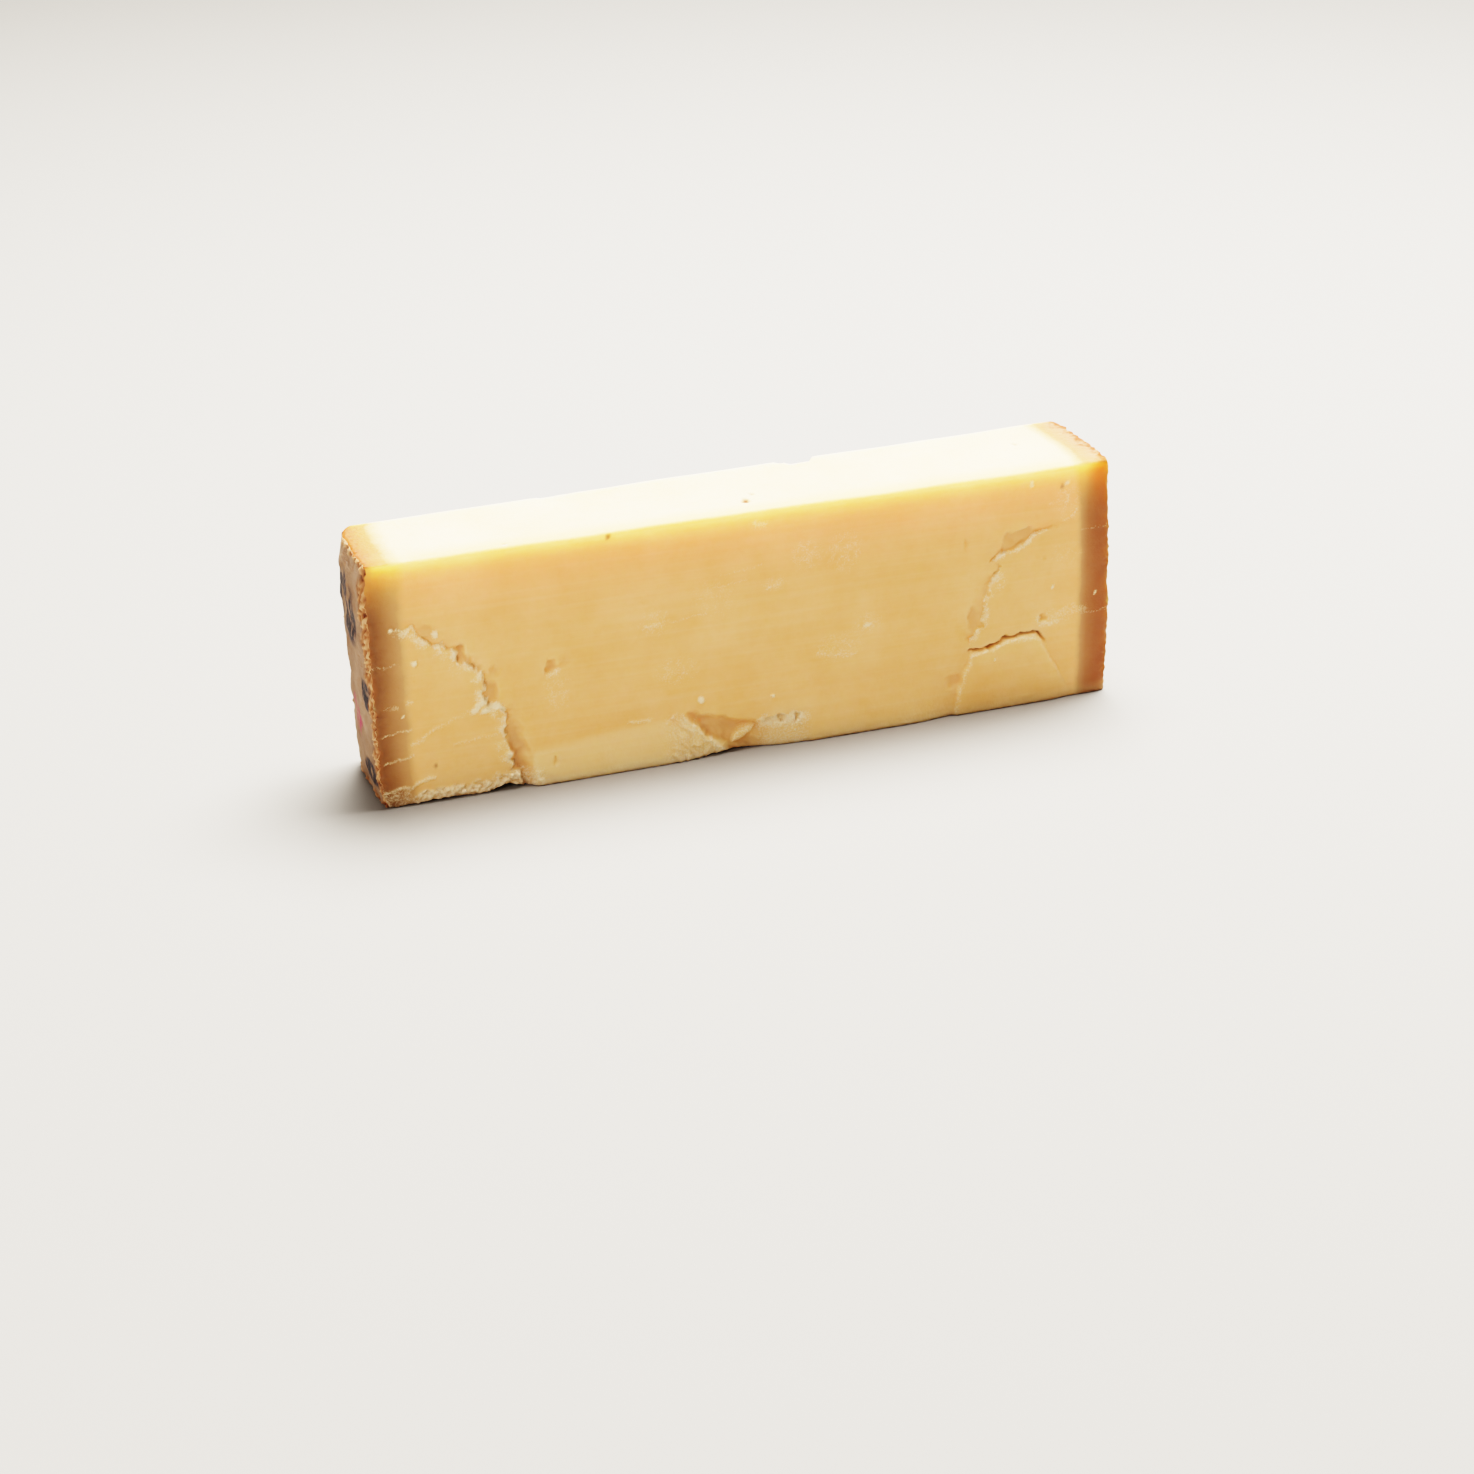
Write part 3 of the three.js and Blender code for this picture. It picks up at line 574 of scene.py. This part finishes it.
def box_surface(xs, ys, zs):
    """The closed surface of a box as a net: a fine front sheet, rings of the same points running back
    from its rim, and a back sheet with every second line, which the last ring joins with fans of three
    triangles."""
    def rim(sheet):
        return np.concatenate([sheet[:-1, 0], sheet[-1, :-1], sheet[:0:-1, -1], sheet[0, :0:-1]])

    def sheet_points(xs, y, zs):
        gx, gz = np.meshgrid(xs, zs, indexing="ij")
        return np.stack([gx, np.full(gx.shape, y), gz], -1)

    def quads(a, b, c, d):
        return np.stack([a.ravel(), b.ravel(), c.ravel(), d.ravel()], 1)

    # f, ring_ids and b are the point numbers of the front sheet, the rings and the back sheet
    front = sheet_points(xs, ys[0], zs)
    back = sheet_points(xs[::2], ys[-1], zs[::2])
    f = np.arange(front[..., 0].size).reshape(front.shape[:2])
    rings = np.repeat(rim(front)[None], len(ys) - 2, axis=0)
    rings[:, :, 1] = np.asarray(ys[1:-1])[:, None]
    ring_ids = f.size + np.arange(rings[..., 0].size).reshape(rings.shape[:2])
    b = ring_ids[-1, -1] + 1 + np.arange(back[..., 0].size).reshape(back.shape[:2])
    points = np.concatenate([front.reshape(-1, 3), rings.reshape(-1, 3), back.reshape(-1, 3)])

    layers = np.concatenate([rim(f)[None], ring_ids])
    ahead = np.roll(layers, -1, axis=1)
    fours = np.concatenate([
        quads(f[:-1, :-1], f[1:, :-1], f[1:, 1:], f[:-1, 1:]),
        quads(layers[:-1], layers[1:], ahead[1:], ahead[:-1]),
        quads(b[:-1, :-1], b[:-1, 1:], b[1:, 1:], b[1:, :-1])])
    last, coarse = layers[-1], rim(b)
    one, two, three = last[::2], last[1::2], np.roll(last[::2], -1)
    next_coarse = np.roll(coarse, -1)
    threes = np.concatenate([
        np.stack([one, coarse, two], 1), np.stack([coarse, next_coarse, two], 1),
        np.stack([next_coarse, three, two], 1)])
    return points, fours, threes


def finished_mesh(name, points, *face_groups):
    """A smooth mesh of those millimetre points, put into the frame in metres, with its own object."""
    mesh = bpy.data.meshes.new(name)
    corners = np.concatenate([faces.ravel() for faces in face_groups])
    sizes = np.concatenate([np.full(len(faces), faces.shape[1]) for faces in face_groups])
    mesh.vertices.add(len(points))
    mesh.vertices.foreach_set("co", ((points + ORIGIN) * MM).astype(np.float32).ravel())
    mesh.loops.add(len(corners))
    mesh.loops.foreach_set("vertex_index", corners.astype(np.int32))
    mesh.polygons.add(len(sizes))
    mesh.polygons.foreach_set("loop_start", np.concatenate([[0], np.cumsum(sizes)[:-1]]).astype(np.int32))
    mesh.polygons.foreach_set("use_smooth", np.ones(len(sizes), bool))
    mesh.update(calc_edges=True)
    mesh.validate()
    thing = bpy.data.objects.new(name, mesh)
    bpy.context.scene.collection.objects.link(thing)
    return thing


# The net's lines lie closest where the front cut is cracked and along every edge: fine step, coarse step,
# number of steps and the fine stretches of each direction.
box_points, fours, threes = box_surface(
    graded(LENGTH, 0.38, 0.95, 380, [(0, 1.5), (3, 46), (70, 111), (148, 187), (188.8, LENGTH)]),
    graded(DEPTH, 0.55, 1.6, 36, [(0, 10), (DEPTH - 1.2, DEPTH)]),
    graded(HEIGHT, 0.4, 0.8, 128, [(0, 25), (34, 49), (HEIGHT - 1.2, HEIGHT)]))
slab_points, slab_shares = slab_shape(box_points)
slab = finished_mesh("cheese_slab_paste_and_rind", slab_points, fours, threes)
for label, values in slab_shares.items():
    slab.data.attributes.new(label, "FLOAT", "POINT").data.foreach_set("value", values.astype(np.float32))

# The faces of the two rind ends, by the box side that they come from, take the rind's finish.
sides = np.concatenate([box_points[fours][:, :, 0].mean(1), box_points[threes][:, :, 0].mean(1)])
on_rind = (sides < 1e-6) | (sides > LENGTH - 1e-6)


def screen(red, green, blue):
    """A colour as a screen shows it, 0 to 255, in the linear numbers that shaders take."""
    c = np.array([red, green, blue]) / 255
    return (*np.where(c < 0.04045, c / 12.92, ((c + 0.055) / 1.055) ** 2.4), 1.0)


def new_material(name):
    """An empty node material, its shader and a function that adds a node: feeds are numbers, colours or
    other nodes' outputs for its inputs by number or name, settings are the node's own properties."""
    material = bpy.data.materials.new(name)
    material.use_nodes = True
    nodes, links = material.node_tree.nodes, material.node_tree.links
    shader = nodes["Principled BSDF"]

    def add(kind, feeds=None, out=0, **settings):
        made = nodes.new("ShaderNode" + kind)
        for key, value in settings.items():
            setattr(made, key, value)
        for key, value in (feeds or {}).items():
            if isinstance(value, bpy.types.NodeSocket):
                links.new(value, made.inputs[key])
            else:
                made.inputs[key].default_value = value
        return made.outputs[out]

    return material, shader, links, add


def carried(add, label):
    """A share that the mesh carries at its points."""
    return add("Attribute", out=2, attribute_name=label)


def ramp(add, value, *stops):
    """A colour ramp through the stops, each a place from 0 to 1 and a colour."""
    out = add("ValToRGB", {0: value})
    band = out.node.color_ramp
    while len(band.elements) < len(stops):
        band.elements.new(0.5)
    for element, (place, colour) in zip(band.elements, stops):
        element.position, element.color = place, colour
    return out


def noise(add, where, scale, detail=3.0, roughness=0.55, stretch=None):
    """A noise texture's value on object coordinates, which a Mapping may stretch."""
    if stretch is not None:
        where = add("Mapping", {0: where, 3: stretch})
    return add("TexNoise", {"Vector": where, "Scale": scale, "Detail": detail, "Roughness": roughness})


def shares(add, value, low, high, from_share=0.0, to_share=1.0):
    """Value brought from low..high to from_share..to_share, held at both ends."""
    return add("MapRange", {0: value, 1: low, 2: high, 3: from_share, 4: to_share})


def mixed(add, share, one, other):
    """Two colours mixed by a share."""
    return add("Mix", {0: share, 6: one, 7: other}, out=2, data_type="RGBA")


def times(add, a, b):
    """Two numbers multiplied."""
    return add("Math", {0: a, 1: b}, operation="MULTIPLY")


def plus(add, a, b):
    """Two numbers added."""
    return add("Math", {0: a, 1: b}, operation="ADD")


def band_colour(add, where, gap, ruddy, above):
    """The paste's colour in the last centimetre before the rind, redder at the plain rind, with light and
    shade painted on: paler high up on the front, standing in for light that glows through the top edge, and
    deeper on top, a darker copy that offsets the strong light from above. Also the distance from the rind,
    shaken, which it follows."""
    shaken = plus(add, gap, shares(add, noise(add, where, 170, 3), 0.2, 0.8, -0.7, 0.7))
    centimetres = times(add, shaken, 0.1)
    front = ramp(
        add, centimetres,
        (0.0, screen(134, 84, 46)), (0.09, screen(126, 86, 54)), (0.3, screen(154, 110, 72)),
        (0.68, screen(196, 150, 104)), (0.82, screen(218, 169, 117)), (0.96, screen(240, 186, 126)))
    front = mixed(add, shares(add, ruddy, 0, 0.35, 0, 0.38), front, screen(157, 79, 36))
    # painted light: a paler, glowing copy of the band for the top of the front cut, standing in for light
    # that shines through the top edge
    lit = ramp(
        add, centimetres,
        (0.0, screen(226, 150, 84)), (0.3, screen(234, 172, 96)), (0.6, screen(238, 184, 108)))
    lit = mixed(add, shares(add, ruddy, 0.15, 1), lit, screen(208, 114, 42))
    front = mixed(add, times(add, carried(add, "front_top_glow"), 0.95), front, lit)
    # painted shade: a darker, more saturated copy of the band for the top cut, offsetting the strong light
    # that falls on it from above
    top = ramp(
        add, centimetres,
        (0.0, screen(132, 56, 14)), (0.15, screen(140, 70, 20)), (0.54, screen(162, 96, 36)),
        (0.84, screen(200, 142, 76)), (1.0, screen(236, 182, 120)))
    top = mixed(add, times(add, ruddy, 0.4), top, screen(184, 120, 82))
    return mixed(add, above, front, top), shaken


def paste_material():
    """Hard cheese paste: pale straw, see-through enough to glow at a lit edge, drier and browner in the
    last centimetre before the rind, whiter where it is crushed and deeper in colour where it has broken.
    Light and shade are partly painted on: highlights on lips and grains, shade in hollows, pits and cracks,
    light on the trimmed foot, glow along the top front edge and a darker copy of the band on the top cut."""
    material, shader, links, add = new_material("hard_cheese_paste")
    where = add("TexCoord", out=3)
    gap, crumbs_and_highlights, broken = carried(add, "rind_gap"), carried(add, "crumbly_and_highlit"), carried(add, "broken")
    cleft, specks, glowing_top_edge = carried(add, "cleft"), carried(add, "specks"), carried(add, "glowing_top_edge")
    ruddy, above = carried(add, "ruddy"), carried(add, "on_top")

    mottle = noise(add, where, 60, 4)
    streaks = noise(add, where, 1, 3, stretch=(22, 22, 900))
    specked = noise(add, where, 380, 3, 0.65)
    core = mixed(add, shares(add, mottle, 0.3, 0.7), screen(236, 177, 116), screen(243, 189, 133))
    core = mixed(add, shares(add, specked, 0.45, 0.75, 0, 0.16), core, screen(226, 162, 94))
    core = mixed(add, shares(add, streaks, 0.42, 0.72, 0, 0.1), core, screen(248, 220, 170))
    # painted light: an amber tint along the top front edge and the front strip of the top cut, standing in
    # for light that glows through the edge
    core = mixed(add, times(add, glowing_top_edge, 0.95), core, screen(240, 162, 90))

    band, shaken = band_colour(add, where, gap, ruddy, above)
    inner = add("Mix", {0: above, 2: shares(add, shaken, 7.0, 9.4), 3: shares(add, shaken, 5.5, 12.5)})
    colour = mixed(add, inner, band, core)
    # partly painted shade: a deeper tint in broken paste, hollows, pits and the sunk sides of cracks
    colour = mixed(add, shares(add, broken, 0.05, 0.9, 0, 0.7), colour, screen(200, 156, 112))
    # painted light: paler paste on the trimmed foot and along the base edge
    colour = mixed(add, times(add, carried(add, "painted_foot_light"), 0.5), colour, screen(250, 216, 166))
    fine = noise(add, where, 2300, 2, 0.7)
    # partly painted highlight: fine noise breaks the whitening into bright grains that stand in for tiny
    # glints
    crumbs_seen = add("Math", {0: crumbs_and_highlights, 1: shares(add, fine, 0.4, 0.6, 1.7, 0.5)}, operation="POWER")
    colour = mixed(add, shares(add, crumbs_seen, 0.05, 0.9, 0, 0.85), colour, screen(247, 226, 188))
    # painted shade: dark brown inside the open cleft and along the crack seams
    colour = mixed(add, times(add, cleft, 0.7), colour, screen(118, 82, 46))
    colour = mixed(add, specks, colour, screen(88, 38, 3))
    ragged = plus(add, gap, shares(add, noise(add, where, 420, 3, 0.6), 0.3, 0.7, -1.4, 1.4))
    rim_line = times(add, shares(add, ragged, 0.5, 2.5, 0.95, 0), times(add, ruddy, above))
    colour = mixed(add, rim_line, colour, screen(118, 48, 5))
    links.new(colour, shader.inputs["Base Color"])

    brown = plus(add, specks, rim_line)
    grain = noise(add, where, 900, 3)
    rough = plus(add, shares(add, grain, 0.3, 0.7, 0.42, 0.6), times(add, crumbs_and_highlights, 0.25))
    rough = plus(add, plus(add, rough, times(add, glowing_top_edge, 0.3)), times(add, brown, 0.4))
    links.new(rough, shader.inputs["Roughness"])
    height = plus(add, times(add, grain, 0.5), times(add, streaks, 0.3))
    height = plus(add, height, times(add, times(add, fine, crumbs_and_highlights), 2.4))
    bump = add("Bump", {"Strength": 0.6, "Distance": 0.0005, "Height": height})
    links.new(bump, shader.inputs["Normal"])

    # less light goes into crumbs, breaks and the dry paste beside the rind, and none into brown specks
    opaque = plus(add, plus(add, crumbs_and_highlights, cleft), times(add, broken, 0.6))
    opaque = plus(add, plus(add, opaque, specks), shares(add, shaken, 0.3, 1.8, 0.8, 0))
    weight = times(add, shares(add, opaque, 0, 0.8, 0.8, 0.35), shares(add, brown, 0, 1, 1, 0))
    links.new(weight, shader.inputs["Subsurface Weight"])
    shader.inputs["Subsurface Radius"].default_value = (1.0, 0.92, 0.64)
    shader.inputs["Subsurface Scale"].default_value = 0.012
    shader.inputs["Specular IOR Level"].default_value = 0.35
    return material


def rind_material():
    """Natural rind: a dry, beige-grey skin with a cloth's fine ribs pressed into it, browner and rougher
    towards the cut edges, scuffed to orange-brown in places. At the torn edges the colour follows the
    lumps, partly as painted shade in their hollows and painted highlight on their tops. The printed end
    carries blots of blue-black and pink ink."""
    material, shader, links, add = new_material("natural_rind")
    where = add("TexCoord", out=3)

    mottle = noise(add, where, 110, 4, 0.6)
    skin = ramp(
        add, mottle,
        (0.3, screen(132, 104, 84)), (0.5, screen(154, 125, 103)), (0.72, screen(173, 145, 122)))
    scuffs = shares(add, noise(add, where, 260, 4, 0.65), 0.56, 0.68)
    skin = mixed(add, times(add, scuffs, 0.4), skin, screen(146, 94, 56))

    moved = add("Mapping", {0: where, 2: (0.4, 0, 0), 3: (1, 190, 80)})
    blots = shares(add, noise(add, moved, 1, 3), 0.57, 0.52)
    rubbed = shares(add, noise(add, where, 1, 3, stretch=(1, 900, 260)), 0.55, 0.62, 1, 0.2)
    inked = times(add, times(add, blots, rubbed), shares(add, carried(add, "ink"), 0.1, 0.3))
    skin = mixed(add, times(add, inked, 0.9), skin, screen(50, 54, 64))
    streaks = shares(add, noise(add, where, 1, 3, stretch=(1, 500, 120)), 0.42, 0.52)
    inked = times(add, streaks, shares(add, carried(add, "pink"), 0.2, 0.5))
    skin = mixed(add, times(add, inked, 0.75), skin, screen(186, 60, 104))

    # partly painted shade and highlight: the torn rim runs from orange-brown in the hollows between its
    # lumps to pale on their tops, following their height
    lump_shading = plus(add, carried(add, "rim_lump_shading"), times(add, plus(add, mottle, -0.5), 0.9))
    torn = ramp(
        add, lump_shading,
        (0.05, screen(100, 58, 36)), (0.25, screen(148, 98, 64)), (0.48, screen(168, 116, 80)),
        (0.7, screen(188, 140, 102)), (0.95, screen(208, 168, 130)))
    skin = mixed(add, times(add, carried(add, "rim"), 0.92), skin, torn)
    skin = mixed(add, times(add, carried(add, "ruddy"), 0.4), skin, screen(150, 92, 52))
    links.new(skin, shader.inputs["Base Color"])

    ribs = noise(add, where, 1, 2, stretch=(400, 500, 2200))
    height = plus(add, times(add, mottle, 1.2), times(add, ribs, 0.5))
    bump = add("Bump", {"Strength": 0.6, "Distance": 0.0006, "Height": height})
    links.new(bump, shader.inputs["Normal"])
    shader.inputs["Roughness"].default_value = 0.8
    shader.inputs["Specular IOR Level"].default_value = 0.25
    shader.inputs["Subsurface Weight"].default_value = 0.25
    shader.inputs["Subsurface Radius"].default_value = (1.0, 0.6, 0.3)
    shader.inputs["Subsurface Scale"].default_value = 0.0015
    return material


slab.data.materials.append(paste_material())
slab.data.materials.append(rind_material())
slab.data.polygons.foreach_set("material_index", on_rind.astype(np.int32))
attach(slab, "root")
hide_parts("cheese_slab")

# --------------------------------------------------------------------------------------------------------
# The studio: a plain pale floor, one large soft light high above and a little behind, a weak warm light
# in front, and the camera, which looks down on the slab from the front, past its printed rind end.
# --------------------------------------------------------------------------------------------------------
FLOOR_HALF = 3.0  # metres from the middle of the floor to its sides
floor_mesh = bpy.data.meshes.new("floor")
floor_mesh.from_pydata(
    [(-FLOOR_HALF, -FLOOR_HALF, 0), (FLOOR_HALF, -FLOOR_HALF, 0), (FLOOR_HALF, FLOOR_HALF, 0),
     (-FLOOR_HALF, FLOOR_HALF, 0)], [], [(0, 1, 2, 3)])
floor = bpy.data.objects.new("floor", floor_mesh)
bpy.context.scene.collection.objects.link(floor)
floor_material, floor_shader, _, _ = new_material("pale_floor")
floor_shader.inputs["Base Color"].default_value = (0.22, 0.21, 0.197, 1)
floor_shader.inputs["Roughness"].default_value = 0.9
floor_shader.inputs["Specular IOR Level"].default_value = 0.1
floor_mesh.materials.append(floor_material)


def soft_light(name, place, aim, width, depth, watts, colour):
    """A rectangular softbox at a place in the frame, facing the point it aims at."""
    lamp = bpy.data.lights.new(name, "AREA")
    lamp.shape, lamp.size, lamp.size_y = "RECTANGLE", width, depth
    lamp.energy, lamp.color = watts, colour
    holder = bpy.data.objects.new(name, lamp)
    holder.location = place
    way = np.array(aim) - np.array(place)
    holder.rotation_euler = Vector(way).to_track_quat("-Z", "Y").to_euler()
    bpy.context.scene.collection.objects.link(holder)


soft_light("key", place=(0.32, 0.30, 1.12), aim=(0, 0, 0.03), width=0.9, depth=0.7, watts=147,
           colour=(1, 0.968, 0.895))
soft_light("fill", place=(-0.42, -0.38, 0.34), aim=(-0.05, 0, 0.03), width=0.5, depth=0.34, watts=2.2,
           colour=(1, 0.9, 0.84))
world = bpy.data.worlds.new("studio")
bpy.context.scene.world = world
world.use_nodes = True
surroundings = world.node_tree.nodes["Background"]
surroundings.inputs["Color"].default_value = (1.0, 0.87, 0.72, 1)
surroundings.inputs["Strength"].default_value = 0.255

# The camera's turn about the upright, its tilt down and its roll, in degrees, and its place in the slab's
# own millimetres, as worked out from straight edges in the photo.
AZIMUTH, ELEVATION, ROLL = np.radians([-18.2, 24.49, 1.66])
EYE = (np.array([-124.89, -658.5, 319.75]) + ORIGIN) * MM
level = np.array([np.cos(AZIMUTH), np.sin(AZIMUTH), 0])
back = np.array([np.sin(AZIMUTH), -np.cos(AZIMUTH), 0]) * np.cos(ELEVATION)
back[2] = np.sin(ELEVATION)
across = level * np.cos(ROLL) - np.cross(back, level) * np.sin(ROLL)
turned = np.eye(4)
turned[:3, :] = np.stack([across, np.cross(back, across), back, EYE], 1)
camera_data = bpy.data.cameras.new("camera")
camera_data.lens, camera_data.sensor_width = 74.5, 36
camera = bpy.data.objects.new("camera", camera_data)
camera.matrix_world = Matrix(turned)
bpy.context.scene.collection.objects.link(camera)
bpy.context.scene.camera = camera
bpy.context.scene.view_settings.view_transform = "Filmic"
bpy.context.scene.view_settings.look = "Very High Contrast"
bpy.context.scene.view_settings.exposure = -0.3
